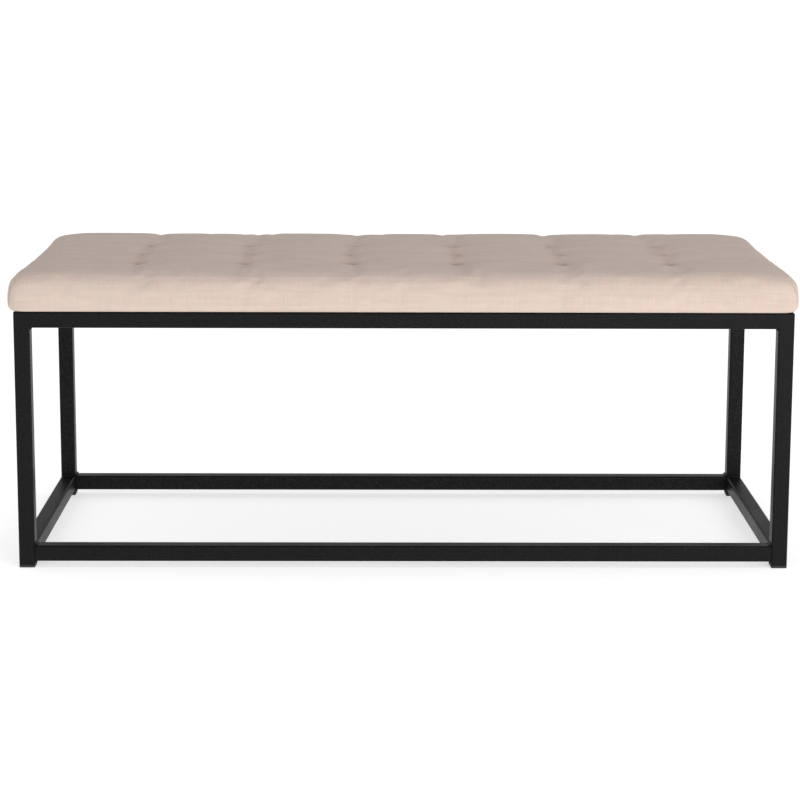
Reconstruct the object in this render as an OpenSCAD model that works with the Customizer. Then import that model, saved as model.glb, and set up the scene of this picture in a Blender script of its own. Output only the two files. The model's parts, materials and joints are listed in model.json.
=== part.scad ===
// Upholstered entryway bench: a welded square-tube cage under a tufted seat pad.
// +X runs along the length, the front faces -Y, +Z is up.
// The origin is on the floor, below the middle of the bench.

/* [Frame] */
// Length of the frame over its legs
frame_l = 1150; // [850:10:1500]
// Depth of the frame over its legs
frame_w = 460; // [380:10:600]
// Height of the top rails above the floor
frame_h = 388; // [300:1:480]
// Height of the bottom rails above the floor
foot_h = 10; // [8:0.5:60]
// Radius ground on the outer top corners of the frame
corner_r = 2; // [0.5:0.5:3]

/* [Tube] */
// Side of the square tube
tube = 24; // [18:0.5:32]
// Wall of the tube
tube_wall = 1.5; // [1:0.1:2.2]
// Outer corner radius of the tube
tube_r = 3; // [2.6:0.1:4.5]
// Leg length of the weld beads
weld_leg = 3; // [2:0.5:4.5]

/* [Glides] */
// Thickness of a glide below its leg
glide_t = 4; // [3:0.5:6]
// Radius of a glide's lower edges
glide_edge_r = 2.2; // [1:0.1:2.5]
// Depth of a glide's plug inside the leg
plug_h = 16; // [8:1:30]
// Wall of the hollow plug
plug_wall = 1.8; // [1:0.1:3]
// Gap between the plug and the inside of the leg
plug_clear = 0.15; // [0.05:0.05:0.5]

/* [Seat brackets] */
// Brackets on each long rail
bracket_count = 3; // [2:1:5]
// Distance from a leg to the middle of the nearest bracket
bracket_end = 131; // [60:1:160]
// Width of a bracket along the rail
bracket_l = 40; // [30:1:50]
// Reach of a bracket from the rail
bracket_w = 36; // [33:1:50]
// Thickness of a bracket
bracket_t = 3; // [2:0.5:5]
// Gap between the brackets and the staples of the dust cover
bracket_gap = 0.3; // [0.1:0.1:1]
// Radius of a bracket's free corners
bracket_r = 8; // [2:1:10]
// Distance of a bracket's hole from the rail
bolt_reach = 24; // [24:0.5:27]

/* [Bolts] */
// Shank diameter of the seat bolts
bolt_d = 6; // [5:0.5:6.5]
// Gap between a bolt's tip and the end of its insert
bolt_tip_gap = 2; // [1:0.5:4]
// Diameter of a bolt's button head
bolt_head_d = 10.5; // [9:0.5:12]
// Height of a bolt's head
bolt_head_h = 3.3; // [2.5:0.1:4]
// Hexagon socket across its flats
socket_af = 4; // [3:0.5:5]
// Depth of the hexagon socket
socket_depth = 2; // [1:0.1:2.2]
// Outer diameter of the washers
washer_d = 13; // [12:0.5:18]
// Thickness of the washers
washer_t = 1.2; // [0.8:0.1:2]
// Radial clearance of a bolt in its washer and its bracket
bolt_clear = 0.3; // [0.1:0.1:1]
// Outer diameter of the threaded inserts
insert_d = 9.5; // [8.5:0.5:11]
// Flange diameter of the threaded inserts
insert_flange_d = 12.5; // [11.5:0.5:14]
// Flange thickness of the threaded inserts
insert_flange_t = 1; // [0.5:0.1:1.5]
// Board left above a threaded insert
insert_cover = 1; // [0.5:0.1:2]

/* [Seat pad] */
// Overhang of the pad past the frame on each side
pad_overhang = 5; // [0:1:20]
// Thickness of the seat cover
cover_t = 1.5; // [1.4:0.1:2.5]
// Gap between the cover and the wadding
soft_gap = 0.2; // [0.1:0.1:1]
// Thickness of the wadding
wadding_t = 8; // [4:0.5:12]
// Thickness of the foam
foam_t = 31.8; // [25:0.2:80]
// Thickness of the seat board
board_t = 12; // [10:0.5:18]
// Roll radius along the pad's top edges
pad_top_r = 28; // [22:1:30]
// Radius along the pad's lower edges
pad_low_r = 8; // [4:0.5:12]
// Radius of the pad's corners in plan
pad_plan_r = 26; // [20:1:40]

/* [Tufts] */
// Tufts along the length
tuft_columns = 6; // [2:1:7]
// Tufts across the depth
tuft_rows = 3; // [2:1:4]
// Distance from an end of the pad to the first column of tufts
tuft_end = 177.5; // [120:0.5:220]
// Distance from a long side of the pad to the first row of tufts
tuft_side = 139; // [90:1:160]
// Depth of a tuft's dimple
tuft_depth = 11; // [4:0.5:14]
// Radius of a tuft's dimple at the surface
tuft_r = 42; // [25:1:48]
// Diameter of the tufting twine
twine_d = 0.9; // [0.6:0.1:0.9]
// Distance between the two strands of a tuft
twine_gap = 3; // [2:0.5:4]
// Length of the twine's tail under the board
twine_tail = 16; // [10:1:25]
// Diameter of the channel for the twine
twine_hole_d = 6; // [6:0.5:8]

/* [Staples and dust cover] */
// Width of a staple over its legs
staple_w = 11; // [8:0.5:13]
// Width of the staple wire
staple_wire = 1.2; // [0.8:0.1:1.4]
// Thickness of the staple wire
staple_t = 0.5; // [0.4:0.1:0.5]
// Reach of the staples' legs into the board
staple_bite = 7; // [4:0.5:8]
// Distance between the staples of the cover's hem
hem_staple_pitch = 62; // [40:1:120]
// Distance of the hem staples from the board's edge
hem_staple_inset = 14; // [12:0.5:16]
// Distance between the staples of the dust cover
dust_staple_pitch = 94; // [60:1:160]
// Thickness of the dust cover
dust_t = 0.4; // [0.3:0.1:0.5]
// Gap between the dust cover and the rails
dust_clear = 4; // [2:0.5:5]
// Lap of the dust cover over the cover's hem
dust_lap = 12; // [10:0.5:12]

/* [Hidden] */
$fn = 64;
eps = 0.01;

// Heights, from the floor up
seat_z = frame_h;
board_z = seat_z + cover_t;
foam_z = board_z + board_t;
foam_top = foam_z + foam_t;
pad_top = foam_top + wadding_t + soft_gap + cover_t;
bracket_top = seat_z - dust_t - staple_t - bracket_gap;
bracket_low = bracket_top - bracket_t;

// Half sizes of the frame, and of the space inside its tubes
half_l = frame_l / 2;
half_w = frame_w / 2;
inner_l = half_l - tube;
inner_w = half_w - tube;

// Plan sizes of the pad and of its core of board and foam
pad_l = frame_l + 2 * pad_overhang;
pad_w = frame_w + 2 * pad_overhang;
wrap_t = cover_t + soft_gap + wadding_t;
core_l = pad_l - 2 * wrap_t;
core_w = pad_w - 2 * wrap_t;
core_plan_r = pad_plan_r - wrap_t;
core_top_r = pad_top_r - wrap_t;

// The cover's hem reaches under the board as far as the dust cover laps it
hem_reach = pad_overhang + tube + dust_clear + dust_lap;
dust_l = 2 * (inner_l - dust_clear);
dust_w = 2 * (inner_w - dust_clear);
dust_staple_inset = dust_lap / 2;

// A dimple is a spherical dish, and the layers below it keep their thickness
tuft_sphere_r = (tuft_r * tuft_r + tuft_depth * tuft_depth) / (2 * tuft_depth);
tuft_centre_z = pad_top - tuft_depth + tuft_sphere_r;
tuft_points = [
    for (x = spread(pad_l / 2 - tuft_end, tuft_columns))
        for (y = spread(pad_w / 2 - tuft_side, tuft_rows)) [x, y]
];

// Bolts, each through a bracket into a threaded insert in the board
bolt_y = inner_w - bolt_reach;
bracket_x = spread(inner_l - bracket_end, bracket_count);
bolt_points = [for (x = bracket_x) for (side = [-1, 1]) [x, side * bolt_y]];
insert_l = board_t - insert_cover;
bolt_head_top = bracket_low - washer_t;
bolt_l = board_z + insert_l - bolt_tip_gap - bolt_head_top;

// Evenly spaced places of count pieces from -reach to +reach
function spread(reach, count) = [for (i = [0 : count - 1]) reach * (2 * i / (count - 1) - 1)];

// ---- Outlines ----

// Rectangle about the origin with round corners
module rounded_rect(l, w, r) {
    square([l - 2 * r, w], center = true);
    square([l, w - 2 * r], center = true);
    for (x = [-1, 1])
        for (y = [-1, 1])
            translate([x * (l / 2 - r), y * (w / 2 - r)]) circle(r);
}

// Upright profile of width l from z_low to z_high, with its own radius at each end, or 0
module upright_profile(l, z_low, z_high, r_low, r_high) {
    translate([-l / 2, z_low + r_low]) square([l, z_high - z_low - r_low - r_high]);
    if (r_low > 0) profile_end(l, z_low + r_low, r_low);
    if (r_high > 0) profile_end(l, z_high - r_high, r_high);
}

// Bar of width l and height 2 * r about the height z, with half-round ends
module profile_end(l, z, r) {
    translate([-l / 2 + r, z - r]) square([l - 2 * r, 2 * r]);
    for (x = [-1, 1]) translate([x * (l / 2 - r), z]) circle(r);
}

// Block with round corners in plan, round lower edges and round upper edges
module soft_block(l, w, z_low, z_high, r_plan, r_low, r_high) {
    intersection() {
        translate([0, 0, z_low]) linear_extrude(z_high - z_low) rounded_rect(l, w, r_plan);
        translate([0, w, 0])
            rotate([90, 0, 0])
                linear_extrude(2 * w) upright_profile(l, z_low, z_high, r_low, r_high);
        translate([-l, 0, 0])
            rotate([90, 0, 90])
                linear_extrude(2 * l) upright_profile(w, z_low, z_high, r_low, r_high);
    }
}

// ---- Tubes ----

// Length of square tube standing on z = 0, centred on the Z axis
module square_tube(length) {
    linear_extrude(length)
        difference() {
            rounded_rect(tube, tube, tube_r);
            rounded_rect(tube - 2 * tube_wall, tube - 2 * tube_wall, tube_r - tube_wall);
        }
}

// Tube lying along X, centred on the origin
module tube_along_x(length) {
    translate([-length / 2, 0, 0]) rotate([90, 0, 90]) square_tube(length);
}

// Tube lying along Y, centred on the origin
module tube_along_y(length) {
    translate([0, length / 2, 0]) rotate([90, 0, 0]) square_tube(length);
}

// Block on one side of the mitre plane at the top left corner: -1 the leg's side, 1 the rail's
module mitre_block(side) {
    translate([-half_l, 0, frame_h])
        rotate([0, -45, 0])
            translate([side * tube, 0, 0])
                cube([2 * tube, 2 * frame_w, 4 * tube], center = true);
}

// What the grinder takes off the top left corner
module corner_grind() {
    translate([-half_l, 0, frame_h])
        rotate([90, 0, 0])
            linear_extrude(2 * frame_w, center = true)
                difference() {
                    translate([-1, -corner_r]) square(corner_r + 1);
                    translate([corner_r, -corner_r]) circle(corner_r);
                }
}

// Leg at the front left corner; the others are its mirror images
module left_front_leg_shape() {
    difference() {
        translate([-half_l + tube / 2, -half_w + tube / 2, glide_t])
            square_tube(frame_h - glide_t);
        mitre_block(1);
        corner_grind();
    }
}

module leg(x_side, y_side) {
    color("#1f1f20")
        mirror([x_side > 0 ? 1 : 0, 0, 0])
            mirror([0, y_side > 0 ? 1 : 0, 0])
                left_front_leg_shape();
}

// Top rail along the front or the rear, mitred onto its two legs
module long_top_rail(y_side) {
    color("#1f1f20")
        difference() {
            translate([0, y_side * (half_w - tube / 2), frame_h - tube / 2])
                tube_along_x(frame_l);
            for (x_side = [0, 1])
                mirror([x_side, 0, 0]) {
                    mitre_block(-1);
                    corner_grind();
                }
        }
}

// Bottom rail along the front or the rear, between the legs
module long_bottom_rail(y_side) {
    color("#1f1f20")
        translate([0, y_side * (half_w - tube / 2), foot_h + tube / 2])
            tube_along_x(2 * inner_l);
}

// Side rail between the front and the rear leg, with its middle at height z
module side_rail(x_side, z) {
    color("#1f1f20")
        translate([x_side * (half_l - tube / 2), 0, z])
            tube_along_y(2 * inner_w);
}

// ---- Welds ----

module bead_section() {
    intersection() {
        square(weld_leg);
        circle(weld_leg);
    }
}

// Quarter-round bead along Y in the corner that opens towards +X and +Z
module bead_along_y() {
    rotate([90, 0, 0]) linear_extrude(tube - 2 * tube_r, center = true) bead_section();
}

// Quarter-round bead of a given length along X in the corner that opens towards +Y and +Z
module bead_along_x(length) {
    rotate([90, 0, 90]) linear_extrude(length, center = true) bead_section();
}

// Beads in the inside corners of the front or the rear rectangle
module long_face_welds(y_side) {
    color("#242425")
        for (x_side = [0, 1])
            mirror([x_side, 0, 0])
                translate([-inner_l, y_side * (half_w - tube / 2), 0]) {
                    translate([0, 0, foot_h + tube]) bead_along_y();
                    for (z = [foot_h, frame_h - tube])
                        translate([0, 0, z]) mirror([0, 0, 1]) bead_along_y();
                }
}

// Beads above and below the ends of the side rails
module side_face_welds(x_side) {
    color("#242425")
        for (y_side = [0, 1])
            mirror([0, y_side, 0])
                translate([x_side * (half_l - tube / 2), -inner_w, 0]) {
                    translate([0, 0, foot_h + tube]) bead_along_x(tube - 2 * tube_r);
                    for (z = [foot_h, frame_h - tube])
                        translate([0, 0, z]) mirror([0, 0, 1]) bead_along_x(tube - 2 * tube_r);
                }
}

// ---- Seat brackets ----

module seat_brackets() {
    color("#1f1f20")
        for (y_side = [0, 1])
            mirror([0, y_side, 0])
                for (x = bracket_x)
                    translate([x, -inner_w, bracket_low]) bracket();
}

// One bracket, its welded edge on the X axis, reaching towards +Y
module bracket() {
    linear_extrude(bracket_t)
        difference() {
            translate([-bracket_l / 2, 0]) {
                square([bracket_l, bracket_w - bracket_r]);
                translate([bracket_r, 0]) square([bracket_l - 2 * bracket_r, bracket_w]);
                for (x = [bracket_r, bracket_l - bracket_r])
                    translate([x, bracket_w - bracket_r]) circle(bracket_r);
            }
            translate([0, bolt_reach]) circle(bolt_d / 2 + bolt_clear);
        }
}

module bracket_welds() {
    color("#242425")
        for (y_side = [0, 1])
            mirror([0, y_side, 0])
                for (x = bracket_x)
                    translate([x, -inner_w, bracket_low])
                        mirror([0, 0, 1]) bead_along_x(bracket_l - 2 * weld_leg);
}

// ---- Glides ----

// Push-in glide: a foot of the tube's own outline and a hollow plug inside the leg
module glide(x_side, y_side) {
    plug = tube - 2 * tube_wall - 2 * plug_clear;
    plug_r = tube_r - tube_wall;
    color("#161616")
        translate([x_side * (half_l - tube / 2), y_side * (half_w - tube / 2), 0]) {
            soft_block(tube, tube, 0, glide_t, tube_r, glide_edge_r, 0);
            translate([0, 0, glide_t - eps])
                linear_extrude(plug_h + eps)
                    difference() {
                        rounded_rect(plug, plug, plug_r);
                        square(plug - 2 * plug_wall, center = true);
                    }
        }
}

// ---- Bolts, washers and inserts ----

module seat_bolts() {
    color("#3a3a3c")
        for (p = bolt_points)
            translate([p[0], p[1], bolt_head_top])
                difference() {
                    union() {
                        cylinder(h = bolt_l, d = bolt_d);
                        translate([0, 0, -bolt_head_h]) button_head();
                    }
                    translate([0, 0, -bolt_head_h - eps])
                        cylinder(h = socket_depth + eps, d = socket_af / cos(30), $fn = 6);
                }
}

// Domed head of a bolt, from z = 0 up to its seat
module button_head() {
    dome_r = (bolt_head_d * bolt_head_d / 4 + bolt_head_h * bolt_head_h)
        / (2 * bolt_head_h) + 1;
    intersection() {
        cylinder(h = bolt_head_h, d = bolt_head_d);
        translate([0, 0, dome_r]) sphere(dome_r);
    }
}

module bolt_washers() {
    color("#8d8f92")
        for (p = bolt_points)
            translate([p[0], p[1], bolt_head_top])
                difference() {
                    cylinder(h = washer_t, d = washer_d);
                    translate([0, 0, -eps])
                        cylinder(h = washer_t + 2 * eps, d = bolt_d + 2 * bolt_clear);
                }
}

// Outside of every threaded insert, which is also the hole it needs in the board
module insert_bodies() {
    for (p = bolt_points)
        translate([p[0], p[1], board_z]) {
            cylinder(h = insert_l, d = insert_d);
            cylinder(h = insert_flange_t, d = insert_flange_d);
        }
}

module threaded_inserts() {
    color("#b6a878")
        difference() {
            insert_bodies();
            for (p = bolt_points)
                translate([p[0], p[1], board_z - eps])
                    cylinder(h = insert_l + 2 * eps, d = bolt_d);
        }
}

// ---- Staples ----

// Staple with its crown along X, its crown's outside at z = 0 and its legs upwards
module staple(leg_l) {
    translate([-staple_w / 2, -staple_wire / 2, 0]) {
        cube([staple_w, staple_wire, staple_t]);
        for (x = [0, staple_w - staple_t])
            translate([x, 0, 0]) cube([staple_t, staple_wire, leg_l]);
    }
}

// Staples round a rectangle: two long rows and two short rows, crowns along the edge
module staple_ring(l, w, pitch, leg_l) {
    long_count = floor((l - 2 * staple_w) / pitch);
    short_count = floor((w - 2 * staple_w) / pitch);
    for (y_side = [-1, 1])
        for (i = [0 : long_count])
            translate([(i - long_count / 2) * pitch, y_side * w / 2, 0]) staple(leg_l);
    for (x_side = [-1, 1])
        for (i = [0 : short_count])
            translate([x_side * l / 2, (i - short_count / 2) * pitch, 0])
                rotate([0, 0, 90]) staple(leg_l);
}

module hem_staples() {
    color("#c8cacc")
        translate([0, 0, seat_z])
            staple_ring(core_l - 2 * hem_staple_inset, core_w - 2 * hem_staple_inset,
                hem_staple_pitch, cover_t + staple_bite);
}

module dust_cover_staples() {
    color("#c8cacc")
        translate([0, 0, seat_z - dust_t - staple_t])
            staple_ring(dust_l - 2 * dust_staple_inset, dust_w - 2 * dust_staple_inset,
                dust_staple_pitch, staple_t + dust_t + cover_t + staple_bite);
}

// Each staple crosses the tail of one tuft's twine and holds it against the board
module tuft_staples() {
    crown_z = board_z - twine_d - staple_t;
    color("#c8cacc")
        for (p = tuft_points)
            translate([p[0] + twine_gap / 2 + twine_tail / 2, p[1], crown_z])
                rotate([0, 0, 90]) staple(staple_t + twine_d + staple_bite);
}

// ---- Tufts ----

// Spherical dish of every tuft, for the layer whose top lies below the pad's by layer_depth
module tuft_dishes(layer_depth) {
    for (p = tuft_points)
        translate([p[0], p[1], tuft_centre_z]) sphere(tuft_sphere_r + layer_depth, $fn = 180);
}

// Twine of every tuft: two strands up to the back of the cover, and a tail under the board
module tuft_twines() {
    stitch_z = pad_top - tuft_depth - cover_t - soft_gap - twine_d;
    tail_z = board_z - twine_d;
    color("#d9d2c3")
        for (p = tuft_points)
            translate([p[0], p[1], 0]) {
                for (x = [-twine_gap / 2, twine_gap / 2])
                    translate([x, 0, tail_z]) cylinder(h = stitch_z + twine_d - tail_z, d = twine_d);
                for (z = [stitch_z, tail_z])
                    translate([-twine_gap / 2, 0, z + twine_d / 2])
                        rotate([0, 90, 0])
                            cylinder(h = z == tail_z ? twine_gap + twine_tail : twine_gap,
                                d = twine_d);
            }
}

module twine_channels() {
    for (p = tuft_points)
        translate([p[0], p[1], seat_z]) cylinder(h = pad_top - seat_z, d = twine_hole_d);
}

// ---- Seat pad ----

module seat_board() {
    color("#c9a26f")
        difference() {
            translate([0, 0, board_z])
                linear_extrude(board_t) rounded_rect(core_l, core_w, core_plan_r);
            twine_channels();
            insert_bodies();
            hem_staples();
            tuft_staples();
            dust_cover_staples();
        }
}

// Core of board and foam, filled, with the foam's round top edges
module core_block(z_low) {
    soft_block(core_l, core_w, z_low, foam_top, core_plan_r, 0, core_top_r);
}

module seat_foam() {
    color("#e8dfa8")
        difference() {
            core_block(foam_z);
            tuft_dishes(wrap_t);
            twine_channels();
        }
}

module seat_wadding() {
    skin = cover_t + soft_gap;
    color("#f2f1ec")
        difference() {
            soft_block(pad_l - 2 * skin, pad_w - 2 * skin, board_z, pad_top - skin,
                pad_plan_r - skin, pad_low_r - skin, pad_top_r - skin);
            core_block(board_z - 1);
            tuft_dishes(skin);
            twine_channels();
        }
}

// Cover: one skin over the top and the sides, with its hem turned in under the board
module seat_cover() {
    color("#d8c3b5")
        difference() {
            soft_block(pad_l, pad_w, seat_z, pad_top, pad_plan_r, pad_low_r, pad_top_r);
            difference() {
                soft_block(pad_l - 2 * cover_t, pad_w - 2 * cover_t, board_z,
                    pad_top - cover_t, pad_plan_r - cover_t, pad_low_r - cover_t,
                    pad_top_r - cover_t);
                tuft_dishes(cover_t);
            }
            tuft_dishes(0);
            translate([0, 0, seat_z - 1])
                linear_extrude(cover_t + 2)
                    rounded_rect(pad_l - 2 * hem_reach, pad_w - 2 * hem_reach, 4);
            hem_staples();
            dust_cover_staples();
        }
}

module dust_cover() {
    color("#1b1b1b")
        difference() {
            translate([0, 0, seat_z - dust_t])
                linear_extrude(dust_t)
                    difference() {
                        square([dust_l, dust_w], center = true);
                        for (p = bolt_points) translate(p) circle(bolt_d / 2 + 2 * bolt_clear);
                    }
            dust_cover_staples();
        }
}

// ---- Nodes ----

leg(-1, -1);  // front_left_leg
leg(1, -1);  // front_right_leg
leg(-1, 1);  // rear_left_leg
leg(1, 1);  // rear_right_leg
long_top_rail(-1);  // front_top_rail
long_top_rail(1);  // rear_top_rail
side_rail(-1, frame_h - tube / 2);  // left_top_side_rail
side_rail(1, frame_h - tube / 2);  // right_top_side_rail
long_bottom_rail(-1);  // front_bottom_rail
long_bottom_rail(1);  // rear_bottom_rail
side_rail(-1, foot_h + tube / 2);  // left_bottom_side_rail
side_rail(1, foot_h + tube / 2);  // right_bottom_side_rail
long_face_welds(-1);  // front_welds
long_face_welds(1);  // rear_welds
side_face_welds(-1);  // left_welds
side_face_welds(1);  // right_welds
seat_brackets();
bracket_welds();
glide(-1, -1);  // front_left_glide
glide(1, -1);  // front_right_glide
glide(-1, 1);  // rear_left_glide
glide(1, 1);  // rear_right_glide
seat_bolts();
bolt_washers();
threaded_inserts();
seat_board();
seat_foam();
seat_wadding();
seat_cover();
tuft_twines();
tuft_staples();
hem_staples();
dust_cover();
dust_cover_staples();
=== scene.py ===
"""An upholstered entryway bench: its looks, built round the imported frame.

The frame's nodes keep their meshes and get finishes through their material slots. The seat
cover is modelled here as a tufted, padded skin and stands for the plain cover of the frame.
All lengths are in metres, in the frame's own axes: +X along the length, -Y to the front.
"""

import json
import logging
import math
from dataclasses import dataclass, field

import bmesh
import bpy
import numpy as np
from mathutils import Matrix, Vector, noise


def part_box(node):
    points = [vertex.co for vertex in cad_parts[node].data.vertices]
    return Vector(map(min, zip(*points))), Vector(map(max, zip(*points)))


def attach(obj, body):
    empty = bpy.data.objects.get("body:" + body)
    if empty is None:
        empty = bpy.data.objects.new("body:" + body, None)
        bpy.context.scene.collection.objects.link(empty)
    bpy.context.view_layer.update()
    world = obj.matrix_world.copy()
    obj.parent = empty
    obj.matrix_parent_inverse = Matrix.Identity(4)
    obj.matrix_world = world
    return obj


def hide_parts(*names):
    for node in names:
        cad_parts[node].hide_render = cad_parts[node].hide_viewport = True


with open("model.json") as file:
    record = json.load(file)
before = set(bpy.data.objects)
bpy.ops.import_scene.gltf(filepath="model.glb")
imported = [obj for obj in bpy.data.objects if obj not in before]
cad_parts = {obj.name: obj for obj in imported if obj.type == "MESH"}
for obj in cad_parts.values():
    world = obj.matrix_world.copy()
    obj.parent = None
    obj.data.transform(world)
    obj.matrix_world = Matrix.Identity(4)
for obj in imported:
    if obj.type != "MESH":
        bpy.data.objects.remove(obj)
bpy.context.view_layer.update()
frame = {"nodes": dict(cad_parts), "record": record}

LOG = logging.getLogger("bench")
MM = 0.001
PAINTED_SHADE = "crease"
Colour = tuple[float, float, float]
Triple = tuple[float, float, float]
Socket = bpy.types.NodeSocket
MIX_SHARE, MIX_FIRST, MIX_SECOND, MIX_COLOUR = 0, 6, 7, 2


# ---- Node trees ----


class Tree:
    """A short way to write a material's node tree."""

    def __init__(self, name: str) -> None:
        """Start an empty material of that name with an output and a Principled shader.

        Args:
            name: the material's name.
        """
        self.material = bpy.data.materials.new(name)
        self.material.use_nodes = True
        self.nodes = self.material.node_tree.nodes
        self.links = self.material.node_tree.links
        self.nodes.clear()
        output = self.nodes.new("ShaderNodeOutputMaterial")
        self.shader = self.nodes.new("ShaderNodeBsdfPrincipled")
        self.links.new(self.shader.outputs["BSDF"], output.inputs["Surface"])

    def add(self, kind: str, inputs: dict | None = None, **settings: object) -> bpy.types.Node:
        """Add a node.

        Args:
            kind: the node's type, without its ShaderNode prefix.
            inputs: socket name or number to a value or another node's output.
            settings: the node's own properties.

        Returns:
            The new node.
        """
        node = self.nodes.new("ShaderNode" + kind)
        for key, value in settings.items():
            setattr(node, key, value)
        for key, value in (inputs or {}).items():
            self.put(node.inputs[key], value)
        return node

    def put(self, socket: Socket, value: Socket | float | tuple) -> None:
        """Link a socket to an output, or set its value.

        Args:
            socket: the input socket.
            value: an output socket, a number, or a tuple.
        """
        if isinstance(value, Socket):
            self.links.new(value, socket)
        else:
            socket.default_value = value

    def coords(self, scale: Triple = (1.0, 1.0, 1.0), rotation: Triple = (0.0, 0.0, 0.0),
               uv: str = "") -> Socket:
        """Give the coordinates that a pattern reads.

        Args:
            scale: how often the pattern repeats along each axis.
            rotation: the pattern's turn, in radians.
            uv: name of the UV map to read, or empty for object coordinates.

        Returns:
            The vector output.
        """
        if uv:
            source = self.add("UVMap", uv_map=uv).outputs["UV"]
        else:
            source = self.add("TexCoord").outputs["Object"]
        mapping = self.add("Mapping", {"Vector": source, "Scale": scale, "Rotation": rotation})
        return mapping.outputs["Vector"]

    def noise(self, vector: Socket, scale: float, detail: float = 2.0,
              roughness: float = 0.5) -> Socket:
        """Give a noise pattern's value from 0 to 1.

        Args:
            vector: where it is read.
            scale: its scale.
            detail: its octaves.
            roughness: how strong the finer octaves are.

        Returns:
            The factor output.
        """
        node = self.add(
            "TexNoise",
            {"Vector": vector, "Scale": scale, "Detail": detail, "Roughness": roughness},
        )
        return node.outputs["Fac"]

    def ramp(self, fac: Socket, low: float, high: float, to_low: float = 0.0,
             to_high: float = 1.0) -> Socket:
        """Map a value's range onto another, smoothly, and hold it at the ends.

        Args:
            fac: the value.
            low: where the output is to_low.
            high: where the output is to_high.
            to_low: output at low.
            to_high: output at high.

        Returns:
            The result output.
        """
        node = self.add(
            "MapRange",
            {"Value": fac, "From Min": low, "From Max": high, "To Min": to_low,
             "To Max": to_high},
            interpolation_type="SMOOTHSTEP",
        )
        return node.outputs["Result"]

    def math(self, operation: str, a: Socket | float, b: Socket | float = 0.0) -> Socket:
        """Combine two values.

        Args:
            operation: the Math node's operation.
            a: first value or output.
            b: second value or output.

        Returns:
            The value output.
        """
        return self.add("Math", {0: a, 1: b}, operation=operation).outputs[0]

    def mix(self, fac: Socket, a: Socket | Colour, b: Socket | Colour) -> Socket:
        """Mix two colours.

        Args:
            fac: share of the second colour.
            a: first colour or output.
            b: second colour or output.

        Returns:
            The colour output.
        """
        node = self.add("Mix", data_type="RGBA")
        self.put(node.inputs[MIX_SHARE], fac)
        self.put(node.inputs[MIX_FIRST], a if isinstance(a, Socket) else (*a, 1.0))
        self.put(node.inputs[MIX_SECOND], b if isinstance(b, Socket) else (*b, 1.0))
        return node.outputs[MIX_COLOUR]

    def bump(self, height: Socket, strength: float, distance: float,
             normal: Socket | None = None) -> Socket:
        """Turn a height into a normal.

        Args:
            height: the height output.
            strength: how strong the bump is.
            distance: the height of a value of 1, in metres.
            normal: a normal to build on, or None.

        Returns:
            The normal output.
        """
        inputs = {"Height": height, "Strength": strength, "Distance": distance}
        if normal is not None:
            inputs["Normal"] = normal
        return self.add("Bump", inputs).outputs["Normal"]


# ---- Finishes ----


@dataclass(frozen=True)
class PowderCoat:
    """Black powder coat with a fine mottled texture over steel tube."""

    colour: Colour = (0.002, 0.002, 0.0021)
    fleck: Colour = (0.026, 0.026, 0.0265)
    grain: float = 1.3 * MM
    roughness: float = 0.42
    lumps: float = 0.0
    finer: float = 3.4
    patches: float = 9.0
    specular: float = 0.13
    relief: float = 0.0003
    lump_scale: float = 420.0
    lump_relief: float = 0.0012

    def material(self, name: str) -> bpy.types.Material:
        """Build the material.

        Args:
            name: the material's name.

        Returns:
            The material.
        """
        t = Tree(name)
        at = t.coords()
        mottle = t.noise(at, 1.0 / self.grain, 3.0, 0.6)
        fine = t.noise(at, self.finer / self.grain, 2.0, 0.6)
        patch = t.noise(at, self.patches, 2.0)
        flecks = t.math("ADD", t.ramp(mottle, 0.48, 0.66, 0.0, 0.8), t.ramp(fine, 0.55, 0.75, 0.0, 0.3))
        t.put(t.shader.inputs["Base Color"], t.mix(flecks, self.colour, self.fleck))
        rough = t.math("ADD", t.ramp(mottle, 0.3, 0.7, 0.08, -0.08), self.roughness)
        rough = t.math("ADD", rough, t.ramp(patch, 0.3, 0.7, -0.03, 0.03))
        t.put(t.shader.inputs["Roughness"], rough)
        t.shader.inputs["Specular IOR Level"].default_value = self.specular
        height = t.math("ADD", t.math("MULTIPLY", fine, 0.3), mottle)
        normal = t.bump(height, 0.5, self.relief)
        if self.lumps:
            lump = t.noise(at, self.lump_scale, 1.0)
            normal = t.bump(lump, self.lumps, self.lump_relief, normal)
        t.put(t.shader.inputs["Normal"], normal)
        return t.material


@dataclass(frozen=True)
class Plain:
    """A finish of one colour with a slight grain, for small and hidden pieces."""

    colour: Colour
    roughness: float = 0.5
    metallic: float = 0.0
    grain: float = 600.0
    depth: float = 0.0001
    contrast: float = 0.25

    def material(self, name: str) -> bpy.types.Material:
        """Build the material.

        Args:
            name: the material's name.

        Returns:
            The material.
        """
        t = Tree(name)
        grain = t.noise(t.coords(), self.grain, 3.0, 0.6)
        dark = tuple(c * (1.0 - self.contrast) for c in self.colour)
        t.put(t.shader.inputs["Base Color"], t.mix(grain, dark, self.colour))
        t.put(
            t.shader.inputs["Roughness"],
            t.ramp(grain, 0.3, 0.7, self.roughness - 0.06, self.roughness + 0.06),
        )
        t.shader.inputs["Metallic"].default_value = self.metallic
        t.put(t.shader.inputs["Normal"], t.bump(grain, 0.4, self.depth))
        return t.material


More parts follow.
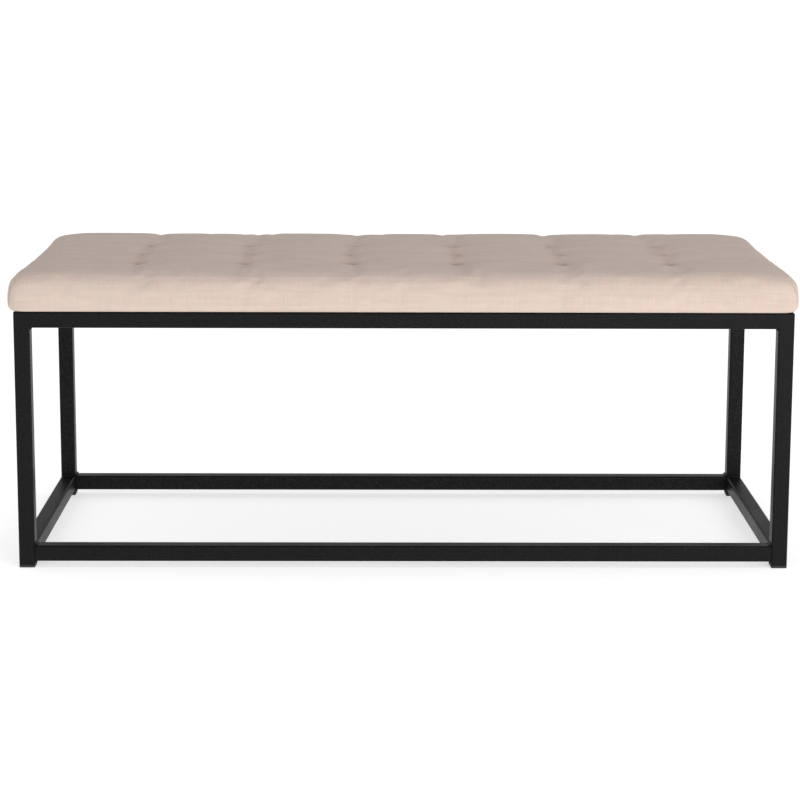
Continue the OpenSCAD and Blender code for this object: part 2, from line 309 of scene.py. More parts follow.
@dataclass(frozen=True)
class Plywood:
    """Raw plywood with a long grain."""

    pale: Colour = (0.62, 0.46, 0.29)
    dark: Colour = (0.42, 0.28, 0.16)

    def material(self, name: str) -> bpy.types.Material:
        """Build the material.

        Args:
            name: the material's name.

        Returns:
            The material.
        """
        t = Tree(name)
        rings = t.noise(t.coords((1.6, 38.0, 1.0)), 3.0, 4.0, 0.62)
        fibre = t.noise(t.coords((30.0, 900.0, 900.0)), 1.0, 3.0, 0.6)
        wood = t.mix(t.ramp(rings, 0.35, 0.68), self.pale, self.dark)
        wood = t.mix(t.math("MULTIPLY", fibre, 0.35), wood, self.dark)
        t.put(t.shader.inputs["Base Color"], wood)
        t.put(t.shader.inputs["Roughness"], t.ramp(fibre, 0.3, 0.7, 0.62, 0.8))
        t.put(t.shader.inputs["Normal"], t.bump(fibre, 0.3, 0.0001))
        return t.material


@dataclass(frozen=True)
class Linen:
    """Heathered linen-look weave: pale pink and grey yarns with slubs both ways, plus painted shade
    toward the fold colour where the crease attribute is set.
    """

    pink: Colour = (0.74, 0.575, 0.505)
    sand: Colour = (0.68, 0.585, 0.50)
    pale: Colour = (0.80, 0.69, 0.61)
    deep: Colour = (0.50, 0.37, 0.32)
    # Colour of the painted shade in creases, mixed in by the crease attribute.
    fold: Colour = (0.36, 0.22, 0.17)
    yarn: float = 0.95 * MM
    slub: float = 3.2 * MM
    slub_l: float = 38 * MM
    yarn_l: float = 24 * MM
    band: float = 8 * MM
    band_l: float = 110 * MM
    # Largest share of that painted shade.
    crease: float = 0.9
    sheen: float = 0.12
    sheen_roughness: float = 0.5
    specular: float = 0.13
    relief: float = 0.0005
    uv: str = "weave"

    def streaks(self, t: Tree, wide: float, long: float, turned: bool) -> Socket:
        """Give a pattern of long thin streaks in one direction of the weave.

        Args:
            t: the material's tree.
            wide: how wide a streak is.
            long: how long it is.
            turned: whether it runs along the weave's second axis.

        Returns:
            The pattern's output, from 0 to 1.
        """
        scale = (1.0 / long, 1.0 / wide, 1.0)
        if turned:
            scale = (1.0 / wide, 1.0 / long, 1.0)
        return t.noise(t.coords(scale, uv=self.uv), 1.0, 2.0, 0.55)

    def material(self, name: str) -> bpy.types.Material:
        """Build the material.

        Args:
            name: the material's name.

        Returns:
            The material.
        """
        t = Tree(name)
        across = self.streaks(t, self.slub, self.slub_l, False)
        down = self.streaks(t, self.slub, self.slub_l, True)
        thin_across = self.streaks(t, self.yarn, self.yarn_l, False)
        thin_down = self.streaks(t, self.yarn, self.yarn_l, True)
        colour = t.mix(t.ramp(down, 0.36, 0.64), self.pink, self.sand)
        colour = t.mix(t.math("MULTIPLY", t.ramp(across, 0.46, 0.66), 0.5), colour, self.sand)
        colour = t.mix(t.math("MULTIPLY", t.ramp(thin_across, 0.5, 0.7), 0.32), colour, self.pale)
        colour = t.mix(t.math("MULTIPLY", t.ramp(thin_down, 0.52, 0.7), 0.28), colour, self.pale)
        bands = self.streaks(t, self.band, self.band_l, False)
        colour = t.mix(t.ramp(bands, 0.35, 0.65, 0.0, 0.16), colour, self.deep)
        yarns = t.math("MULTIPLY", t.ramp(thin_down, 0.5, 0.3), t.ramp(thin_across, 0.62, 0.3))
        colour = t.mix(t.math("MULTIPLY", yarns, 0.4), colour, self.deep)
        count = math.pi / self.yarn
        cells = t.add("SeparateXYZ", {0: t.coords((count, count, 1.0), uv=self.uv)})
        over = t.math("ABSOLUTE", t.math("SINE", cells.outputs[0]))
        under = t.math("ABSOLUTE", t.math("SINE", cells.outputs[1]))
        cloth = t.math("MULTIPLY", over, under)
        gaps = t.math("MULTIPLY", t.ramp(cloth, 0.35, 0.0), 0.25)
        colour = t.mix(gaps, colour, self.deep)
        # Painted shade: the crease attribute darkens the weave toward the fold colour in the tuft pits,
        # pleat grooves and column valleys.
        crease = t.add("Attribute", attribute_name=PAINTED_SHADE).outputs["Fac"]
        colour = t.mix(t.math("MULTIPLY", crease, self.crease), colour, self.fold)
        t.put(t.shader.inputs["Base Color"], colour)
        t.put(t.shader.inputs["Roughness"], t.ramp(thin_down, 0.3, 0.7, 0.82, 0.94))
        t.shader.inputs["Sheen Weight"].default_value = self.sheen
        t.shader.inputs["Sheen Roughness"].default_value = self.sheen_roughness
        t.shader.inputs["Specular IOR Level"].default_value = self.specular
        height = t.math("ADD", t.math("MULTIPLY", cloth, 0.5),
                        t.math("ADD", t.math("MULTIPLY", down, 0.8), across))
        t.put(t.shader.inputs["Normal"], t.bump(height, 0.45, self.relief))
        return t.material


@dataclass(frozen=True)
class Felt:
    """Black non-woven felt: short fibres lying every way, and a grid of bonding dots."""

    colour: Colour = (0.016, 0.016, 0.017)
    fibre: Colour = (0.055, 0.055, 0.058)
    dot: float = 2.2 * MM
    strands: Triple = (220.0, 2600.0, 220.0)
    lay: float = 0.6
    cross_lay: float = -0.9
    dot_turn: float = 0.785
    specular: float = 0.3
    relief: float = 0.0003

    def material(self, name: str) -> bpy.types.Material:
        """Build the material.

        Args:
            name: the material's name.

        Returns:
            The material.
        """
        t = Tree(name)
        long = t.noise(t.coords(self.strands, (0.0, 0.0, self.lay)), 1.0, 2.0, 0.6)
        other = t.noise(t.coords(self.strands, (0.0, 0.0, self.cross_lay)), 1.0, 2.0, 0.6)
        fibres = t.math("MAXIMUM", long, other)
        count = math.pi / self.dot
        grid = t.coords((count, count, 1.0), (0.0, 0.0, self.dot_turn))
        cells = t.add("SeparateXYZ", {0: grid})
        dots = t.math("MULTIPLY", t.math("SINE", cells.outputs[0]), t.math("SINE", cells.outputs[1]))
        pressed = t.ramp(t.math("ABSOLUTE", dots), 0.55, 0.8)
        t.put(t.shader.inputs["Base Color"], t.mix(t.ramp(fibres, 0.5, 0.75), self.colour, self.fibre))
        t.put(t.shader.inputs["Roughness"], t.ramp(pressed, 0.0, 1.0, 0.95, 0.6))
        t.shader.inputs["Specular IOR Level"].default_value = self.specular
        height = t.math("SUBTRACT", fibres, t.math("MULTIPLY", pressed, 0.8))
        t.put(t.shader.inputs["Normal"], t.bump(height, 0.5, self.relief))
        return t.material


@dataclass(frozen=True)
class Backdrop:
    """A white floor, lit from within like a light table."""

    colour: Colour = (0.82, 0.82, 0.82)
    glow: float = 0.6

    def material(self, name: str) -> bpy.types.Material:
        """Build the material.

        Args:
            name: the material's name.

        Returns:
            The material.
        """
        t = Tree(name)
        t.shader.inputs["Base Color"].default_value = (*self.colour, 1.0)
        t.shader.inputs["Roughness"].default_value = 1.0
        t.shader.inputs["Specular IOR Level"].default_value = 0.0
        t.shader.inputs["Emission Color"].default_value = (1.0, 1.0, 1.0, 1.0)
        t.shader.inputs["Emission Strength"].default_value = self.glow
        return t.material


FINISHES = {
    "frame_powder_coat": PowderCoat(),
    "weld_powder_coat": PowderCoat(roughness=0.44, lumps=0.7),
    "glide_plastic": Plain((0.018, 0.018, 0.019), roughness=0.55, grain=900.0),
    "black_oxide_steel": Plain((0.05, 0.05, 0.053), roughness=0.4, metallic=0.8),
    "zinc_plated_steel": Plain((0.62, 0.63, 0.64), roughness=0.32, metallic=1.0),
    "insert_brass": Plain((0.60, 0.46, 0.20), roughness=0.3, metallic=1.0),
    "board_plywood": Plywood(),
    "foam": Plain((0.80, 0.72, 0.46), roughness=0.95, grain=1500.0, depth=0.0004),
    "wadding": Plain((0.86, 0.85, 0.82), roughness=1.0, grain=400.0, depth=0.0008),
    "tuft_twine": Plain((0.62, 0.56, 0.47), roughness=0.8, grain=1200.0),
}


# ---- Seat cover ----


def ease(low: float, high: float, value: np.ndarray) -> np.ndarray:
    """Rise smoothly from 0 to 1.

    Args:
        low: the value at which the result is 0.
        high: the value at which the result is 1. It may lie below low.
        value: the values.

    Returns:
        The eased values, from 0 to 1.
    """
    share = np.clip((value - low) / (high - low), 0.0, 1.0)
    return share * share * (3.0 - 2.0 * share)


def points(mesh: bpy.types.Mesh) -> np.ndarray:
    """Read a mesh's points.

    Args:
        mesh: the mesh.

    Returns:
        One row of X, Y and Z for each point.
    """
    flat = np.empty(len(mesh.vertices) * 3)
    mesh.vertices.foreach_get("co", flat)
    return flat.reshape(-1, 3)


def bake(piece: bpy.types.Object) -> None:
    """Apply a piece's modifiers to its mesh.

    Args:
        piece: the piece.
    """
    graph = bpy.context.evaluated_depsgraph_get()
    mesh = bpy.data.meshes.new_from_object(piece.evaluated_get(graph))
    piece.modifiers.clear()
    old, piece.data = piece.data, mesh
    bpy.data.meshes.remove(old)
    mesh.name = piece.name


def add_piece(name: str, bm: bmesh.types.BMesh) -> bpy.types.Object:
    """Turn a bmesh into a piece of the scene, and free the bmesh.

    Args:
        name: the piece's name.
        bm: its shape.

    Returns:
        The piece.
    """
    mesh = bpy.data.meshes.new(name)
    bm.to_mesh(mesh)
    bm.free()
    piece = bpy.data.objects.new(name, mesh)
    bpy.context.collection.objects.link(piece)
    return piece


@dataclass(frozen=True)
class Swelling:
    """How the cover is blown up over its filling."""

    pressure: float = 4.0
    frames: int = 20
    stiffness: float = 20.0
    bending: float = 0.5
    slack: float = 0.008
    mass: float = 0.3
    foam: float = 0.12
    reach: float = 6 * MM

    def run(self, piece: bpy.types.Object, held: np.ndarray) -> None:
        """Simulate the cover as cloth under pressure, and keep its settled shape.

        Args:
            piece: the cover. Its mesh gets the settled points.
            held: for each point, whether it is stapled or sewn down.
        """
        start = points(piece.data)
        group = piece.vertex_groups.new(name="held")
        group.add(list(range(len(held))), self.foam, "REPLACE")
        group.add([int(i) for i in np.nonzero(held)[0]], 1.0, "REPLACE")
        cloth = piece.modifiers.new("cloth", "CLOTH")
        cloth.collision_settings.use_collision = False
        cloth.point_cache.frame_end = self.frames
        settings = cloth.settings
        settings.mass = self.mass
        settings.tension_stiffness = self.stiffness
        settings.compression_stiffness = self.stiffness
        settings.bending_stiffness = self.bending
        settings.use_pressure = True
        settings.uniform_pressure_force = self.pressure
        settings.shrink_min = -self.slack
        settings.vertex_group_mass = group.name
        settings.effector_weights.gravity = 0.0
        scene = bpy.context.scene
        for number in range(1, self.frames + 1):
            scene.frame_set(number)
        bake(piece)
        scene.frame_set(1)
        move = points(piece.data) - start
        far = np.linalg.norm(move, axis=1, keepdims=True)
        LOG.info("cover swells by %.1f mm, at most %.1f mm", *(np.percentile(far, (50, 100)) / MM))
        move *= self.reach / np.maximum(far, self.reach)
        piece.data.vertices.foreach_set("co", (start + move).ravel())


@dataclass(frozen=True)
class TuftFolds:
    """The small pit and creases where the twine draws the cloth in, with painted shade in and round the
    pit.
    """

    reach: float = 24 * MM
    pit: float = 3.6 * MM
    pit_r: float = 5 * MM
    smile: float = 1.7 * MM
    smile_r: float = 9 * MM
    smile_w: float = 2.2 * MM
    crease: float = 0.9 * MM
    creases: int = 5
    crease_w: float = 1.8 * MM
    turn: float = 0.5
    lean: float = 0.4
    # Strength of the painted shade round each tuft; shade_r below is its reach.
    shade: float = 0.9
    seed: int = 7
    shade_r: float = 10 * MM

    def press(self, piece: bpy.types.Object, tufts: list[Vector]) -> None:
        """Refine the net round each tuft, press its folds in, and paint shade in and round its pit.

        Args:
            piece: the cover.
            tufts: the tufts' places, at the height of the top.
        """
        chance = np.random.default_rng(self.seed)
        bm = bmesh.new()
        bm.from_mesh(piece.data)
        shade = bm.verts.layers.float.new(PAINTED_SHADE)
        for tuft in tufts:
            near = self.around(bm, tuft)
            edges = list({e for v in near for e in v.link_edges})
            bmesh.ops.subdivide_edges(bm, edges=edges, cuts=1, use_grid_fill=True)
            turns = chance.uniform(-self.turn, self.turn, self.creases)
            lean = chance.uniform(-self.lean, self.lean)
            for vertex in self.around(bm, tuft):
                depth = self.depth(vertex.co - tuft, turns, lean)
                vertex.co.z -= depth
                # Painted shade: the crease attribute is set deepest in the pit and fades over a soft
                # ring round it.
                dark = math.exp(-(((vertex.co - tuft).xy.length / self.shade_r) ** 2))
                vertex[shade] = min(1.0, max(depth / self.pit, self.shade * dark))
        bm.to_mesh(piece.data)
        bm.free()

    def around(self, bm: bmesh.types.BMesh, tuft: Vector) -> list:
        """Find the points of the top round a tuft.

        Args:
            bm: the cover's shape.
            tuft: the tuft's place.

        Returns:
            The points.
        """
        return [
            v for v in bm.verts
            if abs(v.co.z - tuft.z) < self.reach and (v.co - tuft).xy.length < self.reach
        ]

    def depth(self, offset: Vector, turns: np.ndarray, lean: float) -> float:
        """Give how deep the folds are at a place.

        Args:
            offset: the place, seen from the tuft.
            turns: how far each crease turns off its even spacing, in radians.
            lean: how far the front fold turns, in radians.

        Returns:
            The depth.
        """
        away = offset.xy.length
        angle = math.atan2(offset.y, offset.x)
        depth = self.pit * math.exp(-((away / self.pit_r) ** 2))
        front = math.cos(angle + math.pi / 2 - lean)
        ring = math.exp(-(((away - self.smile_r) / self.smile_w) ** 2))
        depth += self.smile * ring * max(0.0, front) ** 1.5
        fade = max(0.0, 1.0 - away / self.reach) * min(1.0, away / self.pit_r)
        for number, turn in enumerate(turns):
            toward = 2.0 * math.pi * number / self.creases + turn
            off = away * math.sin(angle - toward)
            if math.cos(angle - toward) > 0.0:
                depth += self.crease * fade * math.exp(-((off / self.crease_w) ** 2))
        return depth


@dataclass(frozen=True)
class CornerPleats:
    """The pleat that takes up the spare cloth at each corner of the pad, with painted shade along its
    groove.
    """

    reach: float = 12 * MM
    groove: float = 2.0 * MM
    groove_w: float = 1.3 * MM
    lip: float = 0.9 * MM
    lip_w: float = 3.0 * MM
    turn: float = math.radians(30)
    sweep: float = math.radians(34)
    tall: float = 50 * MM
    foot: float = 3 * MM

    def press(self, piece: bpy.types.Object, post: Vector, side_x: int, side_y: int) -> None:
        """Refine the net along one corner's pleat, press it in, and paint shade along its groove.

        Args:
            piece: the cover.
            post: the foot of the corner's rounding axis.
            side_x: -1 at the left, 1 at the right.
            side_y: -1 at the front, 1 at the rear.
        """
        bm = bmesh.new()
        bm.from_mesh(piece.data)
        shade = bm.verts.layers.float[PAINTED_SHADE]
        for width in (self.reach, self.reach / 2):
            near = {v for v in bm.verts if abs(self.across(v.co - post, side_x, side_y)) < width}
            edges = [e for e in bm.edges if e.verts[0] in near and e.verts[1] in near]
            bmesh.ops.subdivide_edges(bm, edges=edges, cuts=1, use_grid_fill=True)
        for vertex in bm.verts:
            offset = vertex.co - post
            off = self.across(offset, side_x, side_y)
            if abs(off) > self.reach:
                continue
            up = offset.z / self.tall
            fade = max(0.0, 1.0 - up ** 3) * min(1.0, offset.z / self.foot)
            move = self.lip * math.exp(-(((off - self.lip_w) / self.lip_w) ** 2))
            cut = math.exp(-((off / self.groove_w) ** 2))
            move -= self.groove * cut
            # Painted shade along the pleat's groove, through the crease attribute.
            vertex[shade] = max(0.0, fade) * cut
            outward = Vector((offset.x, offset.y, 0.0)).normalized()
            vertex.co += outward * move * max(0.0, fade)
        bm.to_mesh(piece.data)
        bm.free()

    def across(self, offset: Vector, side_x: int, side_y: int) -> float:
        """Give how far a place lies from the pleat's line, round the corner.

        Args:
            offset: the place, seen from the corner's post.
            side_x: -1 at the left, 1 at the right.
            side_y: -1 at the front, 1 at the rear.

        Returns:
            The distance round the corner, or a large one where there is no pleat.
        """
        far = 1.0
        if offset.x * side_x < 0.0 or offset.y * side_y < 0.0 or not 0.0 < offset.z < self.tall:
            return far
        angle = math.atan2(offset.y * side_y, offset.x * side_x)
        line = self.turn + self.sweep * (offset.z / self.tall) ** 2
        return (angle - line) * offset.xy.length


@dataclass
class SeatCover:
    """The tufted cover over wadding, foam and board.

    The pad's box comes from the frame's cover, and the tufts stand over the twines.
    """

    node: str = "seat_cover"
    twines: str = "tuft_twines"
    stitch: float = 2 * MM
    sewn_r: float = 4.5 * MM
    columns: int = 6
    rows: int = 3
    voxel: float = 6.4 * MM
    proud: float = 4.2 * MM
    rise: float = 1.2 * MM
    slip: float = -1.5 * MM
    corner_r: float = 25 * MM
    roll_r: float = 19 * MM
    hem_r: float = 8 * MM
    crown: float = 2.0 * MM
    pit: float = 5.5 * MM
    pit_r: float = 9 * MM
    dish: float = 2.4 * MM
    dish_r: float = 30 * MM
    valley: float = 1.5 * MM
    valley_w: float = 33 * MM
    row_share: float = 0.6
    end_fade: float = 110 * MM
    waist: float = 3.2 * MM
    left_waist: float = 5.5 * MM
    lean: float = 4 * MM
    corner_drop: float = 3.5 * MM
    ripple: float = 1.1 * MM
    ripple_l: float = 110 * MM
    ripple_w: float = 16 * MM
    # Strength of the painted shade in the column valleys.
    band: float = 0.16
    fill: float = 0.8
    # Width of that painted shade.
    valley_shade_w: float = 9 * MM
    swelling: Swelling = field(default_factory=Swelling)
    folds: TuftFolds = field(default_factory=TuftFolds)
    pleats: CornerPleats = field(default_factory=CornerPleats)

    def __post_init__(self) -> None:
        """Read the pad's box and the places of its tufts from the frame."""
        low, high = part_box(self.node)
        self.low = Vector(low) - Vector((self.proud, self.proud, 0.0))
        self.high = Vector(high) + Vector((self.proud, self.proud, self.rise))
        first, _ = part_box(self.twines)
        self.tuft_x = np.linspace(-1.0, 1.0, self.columns) * -(first[0] + self.stitch)
        self.tuft_y = np.linspace(-1.0, 1.0, self.rows) * -first[1]

    def block(self) -> bpy.types.Object:
        """Make the plain round-edged pad with an even net of faces.

        Returns:
            The cover, before it is shaped.
        """
        bm = bmesh.new()
        bmesh.ops.create_cube(bm, size=1.0)
        bmesh.ops.scale(bm, vec=self.high - self.low, verts=bm.verts)
        bmesh.ops.translate(bm, vec=(self.high + self.low) / 2, verts=bm.verts)
        middle = (self.high.z + self.low.z) / 2
        upright = [e for e in bm.edges if (e.verts[0].co.z > middle) != (e.verts[1].co.z > middle)]
        self.round_edges(bm, upright, self.corner_r)
        self.round_edges(bm, [e for e in bm.edges if min(v.co.z for v in e.verts) > middle], self.roll_r)
        hem = [e for e in bm.edges if max(v.co.z for v in e.verts) < self.low.z + MM]
        self.round_edges(bm, hem, self.hem_r)
        piece = add_piece("tufted_cover", bm)
        net = piece.modifiers.new("net", "REMESH")
        net.mode = "VOXEL"
        net.voxel_size = self.voxel
        bake(piece)
        return piece

    @staticmethod
    def round_edges(bm: bmesh.types.BMesh, edges: list, radius: float) -> None:
        """Round some edges.

        Args:
            bm: the shape.
            edges: its edges to round.
            radius: the radius.
        """
        bmesh.ops.bevel(bm, geom=edges, offset=radius, affect="EDGES", segments=6, profile=0.5,
                        material=-1)

    def near_tuft(self, x: np.ndarray, y: np.ndarray) -> np.ndarray:
        """Give the distance of each place to its nearest tuft.

        Args:
            x: the places' X.
            y: the places' Y.

        Returns:
            The distances.
        """
        to_x = np.min(np.abs(x[:, None] - self.tuft_x[None, :]), axis=1)
        to_y = np.min(np.abs(y[:, None] - self.tuft_y[None, :]), axis=1)
        return np.hypot(to_x, to_y)

    def dip(self, x: np.ndarray, y: np.ndarray) -> np.ndarray:
        """Give how deep the tufts and the valleys between them draw the top.

        Args:
            x: the places' X.
            y: the places' Y.

        Returns:
            The depths.
        """
        near = self.near_tuft(x, y)
        depth = self.dish * np.exp(-((near / self.dish_r) ** 2))
        depth += self.pit * np.exp(-((near / self.pit_r) ** 1.5))
        run = 1.0 - 0.8 * ease(self.tuft_y[-1] + 10 * MM, self.high.y - 30 * MM, np.abs(y))
        for column in self.tuft_x:
            depth += self.valley * run * np.exp(-(((x - column) / self.valley_w) ** 2))
        ends = 1.0 - ease(self.tuft_x[-1], self.tuft_x[-1] + self.end_fade, np.abs(x))
        for row in self.tuft_y:
            depth += self.row_share * self.valley * ends * np.exp(-(((y - row) / self.valley_w) ** 2))
        return depth

    def ripples(self, x: np.ndarray, y: np.ndarray) -> np.ndarray:
        """Give the height of the faint folds that run along the seat.

        Args:
            x: the places' X.
            y: the places' Y.

        Returns:
            The heights.
        """
        wave = np.array([
            noise.noise(Vector((a / self.ripple_l, b / self.ripple_w, 3.7))) for a, b in zip(x, y)
        ])
        between = 1.0 - 0.6 * ease(self.tuft_x[-1], self.tuft_x[-1] + 0.09, np.abs(x))
        return self.ripple * wave * between

    def shape(self, piece: bpy.types.Object) -> None:
        """Crown the top, draw in the tufts and valleys, and pull the sides in.

        Args:
            piece: the cover.
        """
        at = points(piece.data)
        x, y, z = at.T.copy()
        inside = np.minimum(self.high.x - np.abs(x), self.high.y - np.abs(y))
        top = ease(self.high.z - self.roll_r, self.high.z - 2 * MM, z)
        rise = self.crown * ease(0.0, 90 * MM, inside) + self.ripples(x, y)
        at[:, 2] += top * (rise - self.dip(x, y) * (0.35 + 0.65 * ease(0.0, 30 * MM, inside)))
        wall = 0.35 + 0.65 * ease(self.low.z, self.low.z + 18 * MM, z)
        upper = ease(self.low.z + 15 * MM, self.high.z, z)
        near_end = ease(70 * MM, 0.0, self.high.x - np.abs(x))
        near_long = ease(70 * MM, 0.0, self.high.y - np.abs(y))
        at[:, 2] -= top * self.corner_drop * near_end * near_long
        bow = np.cos(np.clip(y / self.high.y, -1.0, 1.0) * math.pi / 2)
        pull = np.where(x < 0.0, self.left_waist, self.waist) * bow * wall
        at[:, 0] -= np.sign(x) * near_end * (pull + self.lean * upper)
        bow = np.cos(np.clip(x / self.high.x, -1.0, 1.0) * math.pi / 2)
        at[:, 1] -= np.sign(y) * near_long * 0.4 * self.waist * bow * wall
        at[:, 0] += self.slip * (1.0 - top * ease(0.0, 100 * MM, inside))
        piece.data.vertices.foreach_set("co", at.ravel())

    def held(self, piece: bpy.types.Object) -> np.ndarray:
        """Say which points are stapled under the board or sewn down at a tuft.

        Args:
            piece: the cover, before it is shaped.

        Returns:
            One truth value for each point.
        """
        x, y, z = points(piece.data).T
        under = z < self.low.z + 3 * MM
        sewn = (self.near_tuft(x, y) < self.sewn_r) & (z > self.high.z - 4 * MM)
        return under | sewn

    def flatten(self, piece: bpy.types.Object) -> None:
        """Join the flat underside, which rests on the frame, into one face.

        Args:
            piece: the cover.
        """
        bm = bmesh.new()
        bm.from_mesh(piece.data)
        under = self.low.z + 0.05 * MM
        flat = [f for f in bm.faces if max(v.co.z for v in f.verts) < under]
        bmesh.ops.dissolve_faces(bm, faces=flat, use_verts=False)
        bm.to_mesh(piece.data)
        bm.free()

    def paint_valley_shade(self, piece: bpy.types.Object) -> None:
        """Paint a little shade into the valleys that join a column's tufts.

        Args:
            piece: the cover, with its folds.
        """
        at = points(piece.data)
        crease = np.empty(len(at))
        layer = piece.data.attributes[PAINTED_SHADE].data
        layer.foreach_get("value", crease)
        to_column = np.min(np.abs(at[:, 0, None] - self.tuft_x[None, :]), axis=1)
        run = ease(self.tuft_y[-1] + 40 * MM, self.tuft_y[-1], np.abs(at[:, 1]))
        # Painted shade: a soft band along each column of tufts, kept off the lower sides.
        band = self.band * np.exp(-((to_column / self.valley_shade_w) ** 2)) * run
        layer.foreach_set("value", np.maximum(crease, band * (at[:, 2] > self.low.z + 30 * MM)))

    def wrap(self, piece: bpy.types.Object) -> None:
        """Lay the weave over the cover: flat on the top, and folded down over the sides.

        Args:
            piece: the finished cover.
        """
        mesh = piece.data
        at = points(mesh)
        drop = np.maximum(0.0, self.high.z - at[:, 2])
        drop *= ease(45 * MM, 25 * MM, np.minimum(self.high.x - np.abs(at[:, 0]),
                                                  self.high.y - np.abs(at[:, 1])))
        layer = mesh.uv_layers.new(name=Linen.uv)
        place = np.empty((len(mesh.loops), 2))
        for face in mesh.polygons:
            to_end = self.high.x - abs(face.center.x)
            to_long = self.high.y - abs(face.center.y)
            axis = 0 if to_end < to_long else 1
            side = math.copysign(1.0, face.center[axis])
            for loop, vertex in zip(face.loop_indices, face.vertices):
                place[loop] = at[vertex, :2]
                place[loop, axis] += side * drop[vertex]
        layer.data.foreach_set("uv", place.ravel())

    def build(self) -> bpy.types.Object:
        """Build the cover.

        Returns:
            The finished cover.
        """
        piece = self.block()
        held = self.held(piece)
        self.shape(piece)
        self.swelling.run(piece, held)
        fine = piece.modifiers.new("fine", "SUBSURF")
        fine.levels = 1
        fine.render_levels = 1
        bake(piece)
        self.folds.press(piece, [Vector((x, y, self.high.z)) for x in self.tuft_x
                                 for y in self.tuft_y])
        for side_x in (-1, 1):
            for side_y in (-1, 1):
                post = Vector((side_x * (self.high.x - self.corner_r) + self.slip,
                               side_y * (self.high.y - self.corner_r), self.low.z))
                self.pleats.press(piece, post, side_x, side_y)
        self.flatten(piece)
        piece.data.shade_smooth()
        self.paint_valley_shade(piece)
        self.wrap(piece)
        piece.data.materials.clear()
        piece.data.materials.append(Linen().material("cover_linen"))
        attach(piece, "root")
        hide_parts(self.node)
        LOG.info("cover: %d faces", len(piece.data.polygons))
        return piece


# ---- Dust cover ----


@dataclass
class DustCover:
    """The thin felt stapled over the pad's open underside, slack between its staples."""

    node: str = "dust_cover"
    brackets: str = "seat_brackets"
    bracket_rows: int = 3
    bracket_half: float = 20 * MM
    pressed: float = 24 * MM
    net: float = 6 * MM
    hem: float = 10 * MM
    fold: float = 0.15 * MM
    sag: float = 1.6 * MM
    crumple: float = 0.35 * MM
    thickness: float = 0.3 * MM

    def build(self) -> bpy.types.Object:
        """Build the felt.

        Returns:
            The finished sheet.
        """
        low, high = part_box(self.node)
        size = Vector(high) - Vector(low)
        bm = bmesh.new()
        bmesh.ops.create_grid(bm, x_segments=round(size.x / self.net),
                              y_segments=round(size.y / self.net), size=0.5)
        bmesh.ops.scale(bm, vec=(size.x, size.y, 1.0), verts=bm.verts)
        first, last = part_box(self.brackets)
        across = np.linspace(first[0] + self.bracket_half, last[0] - self.bracket_half,
                             self.bracket_rows)
        for vertex in bm.verts:
            vertex.co.z = high[2] - 0.05 * MM - self.drop(vertex.co, size, across)
        piece = add_piece("dust_cover_felt", bm)
        wall = piece.modifiers.new("wall", "SOLIDIFY")
        wall.thickness = self.thickness
        wall.offset = -1.0
        bake(piece)
        piece.data.shade_smooth()
        piece.data.materials.clear()
        piece.data.materials.append(Felt().material("dust_cover_felt"))
        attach(piece, "root")
        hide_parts(self.node)
        return piece

    def drop(self, place: Vector, size: Vector, across: np.ndarray) -> float:
        """Give how far the felt hangs down at a place.

        Args:
            place: the place.
            size: the felt's size.
            across: the X of each pair of brackets, which press the felt up.

        Returns:
            The drop.
        """
        inside = min(size.x / 2 - abs(place.x), size.y / 2 - abs(place.y))
        slack = min(1.0, inside / (60 * MM)) ** 2
        away = min(abs(place.x - x) for x in across) - self.pressed
        free = min(1.0, max(0.0, away / (50 * MM)))
        wave = noise.noise(Vector((place.x / (90 * MM), place.y / (40 * MM), 1.3)))
        hem = self.fold if inside < self.hem else 0.0
        return hem + slack * free * (self.sag + self.crumple * 2.0 * wave)


# ---- Studio ----


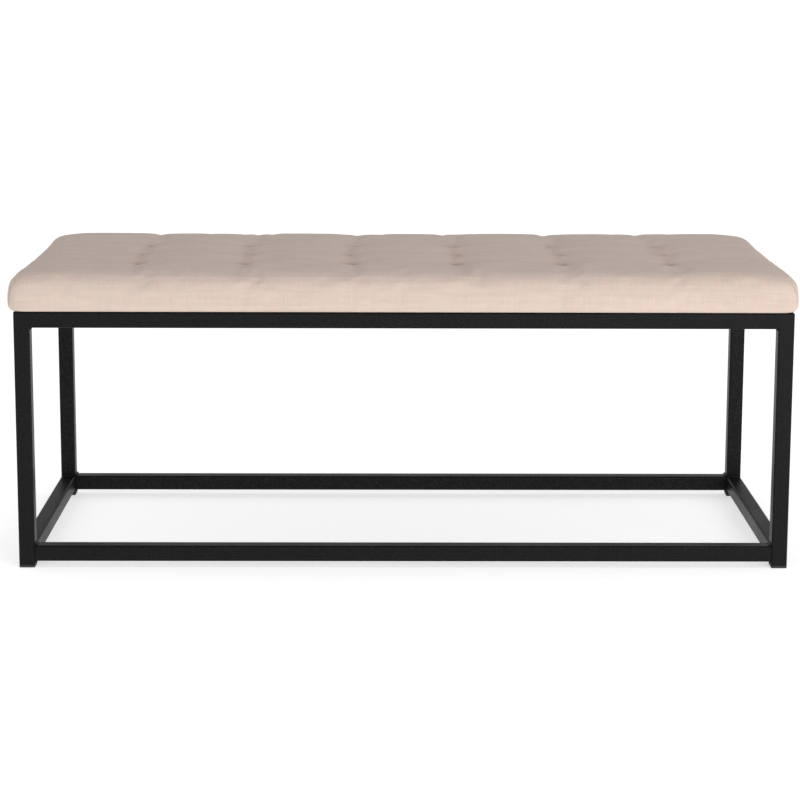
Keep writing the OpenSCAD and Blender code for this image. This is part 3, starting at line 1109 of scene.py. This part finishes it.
@dataclass
class Studio:
    """Floor, lights and camera."""

    lens: float = 98.28
    sensor: float = 36.0
    place: Triple = (-0.0317, -0.230 - 3.164, 0.919)
    pitch: float = 0.163
    yaw: float = 0.0079
    roll: float = 0.0033
    shift_y: float = -0.118
    key: float = 56.0
    warm: Colour = (1.0, 0.95, 0.92)
    cool: Colour = (0.97, 0.98, 1.0)
    ambient: float = 0.6
    backdrop: float = 1.05
    floor_half: float = 30.0
    box_place: Triple = (1.9, -3.7, 1.2)
    box_size: tuple[float, float] = (2.4, 1.6)
    box_aim: Triple = (0.0, 0.0, 0.3)

    def build(self) -> None:
        """Make the stage, the lights and the camera."""
        self.floor()
        self.world()
        self.lights()
        self.camera()

    def floor(self) -> None:
        """Lay a plain pale floor."""
        bm = bmesh.new()
        bmesh.ops.create_grid(bm, x_segments=1, y_segments=1, size=self.floor_half)
        floor = add_piece("floor", bm)
        floor.data.materials.append(Backdrop().material("floor"))

    def area(self, name: str, place: Vector, aim: Vector, size: tuple[float, float],
             watts: float, colour: Colour) -> None:
        """Hang one soft box.

        Args:
            name: the light's name.
            place: where it hangs.
            aim: what it points at.
            size: its width and height.
            watts: its power.
            colour: its colour.
        """
        data = bpy.data.lights.new(name, "AREA")
        data.shape = "RECTANGLE"
        data.size, data.size_y = size
        data.energy = watts
        data.color = colour
        light = bpy.data.objects.new(name, data)
        light.location = place
        light.rotation_euler = (aim - place).to_track_quat("-Z", "Y").to_euler()
        bpy.context.collection.objects.link(light)

    def lights(self) -> None:
        """Hang the soft box in front."""
        self.area("front_box", Vector(self.box_place), Vector(self.box_aim), self.box_size,
                  self.key, self.warm)

    def world(self) -> None:
        """Fill the room with soft light behind a white backdrop."""
        world = bpy.data.worlds.new("studio")
        world.use_nodes = True
        nodes, links = world.node_tree.nodes, world.node_tree.links
        fill = nodes["Background"]
        fill.inputs["Color"].default_value = (*self.cool, 1.0)
        fill.inputs["Strength"].default_value = self.ambient
        white = nodes.new("ShaderNodeBackground")
        white.inputs["Color"].default_value = (1.0, 1.0, 1.0, 1.0)
        white.inputs["Strength"].default_value = self.backdrop
        seen = nodes.new("ShaderNodeLightPath")
        mix = nodes.new("ShaderNodeMixShader")
        links.new(seen.outputs["Is Camera Ray"], mix.inputs["Fac"])
        links.new(fill.outputs["Background"], mix.inputs[1])
        links.new(white.outputs["Background"], mix.inputs[2])
        links.new(mix.outputs["Shader"], nodes["World Output"].inputs["Surface"])
        bpy.context.scene.world = world
        bpy.context.scene.view_settings.view_transform = "Standard"

    def camera(self) -> None:
        """Place the camera."""
        data = bpy.data.cameras.new("camera")
        data.sensor_width = self.sensor
        data.lens = self.lens
        data.shift_y = self.shift_y
        camera = bpy.data.objects.new("camera", data)
        turn = (Matrix.Rotation(-self.yaw, 4, "Z")
                @ Matrix.Rotation(math.pi / 2 - self.pitch, 4, "X")
                @ Matrix.Rotation(self.roll, 4, "Z"))
        camera.matrix_world = Matrix.Translation(self.place) @ turn
        bpy.context.collection.objects.link(camera)
        bpy.context.scene.camera = camera


def dress_frame() -> None:
    """Give each carried-over node whose material slot has an entry in FINISHES that finish."""
    made: dict[str, bpy.types.Material] = {}
    for row in frame["record"]["subparts"]:
        name = row["material_slot"]
        if name not in FINISHES:
            continue
        if name not in made:
            made[name] = FINISHES[name].material(name)
        mesh = frame["nodes"][row["node"]].data
        mesh.materials.clear()
        mesh.materials.append(made[name])
        LOG.info("dressed %s with %s", row["node"], name)


def main() -> None:
    """Build the bench's looks, in order."""
    logging.basicConfig(level=logging.INFO, format="%(message)s")
    dress_frame()
    SeatCover().build()
    DustCover().build()
    Studio().build()


if __name__ == "__main__":
    main()
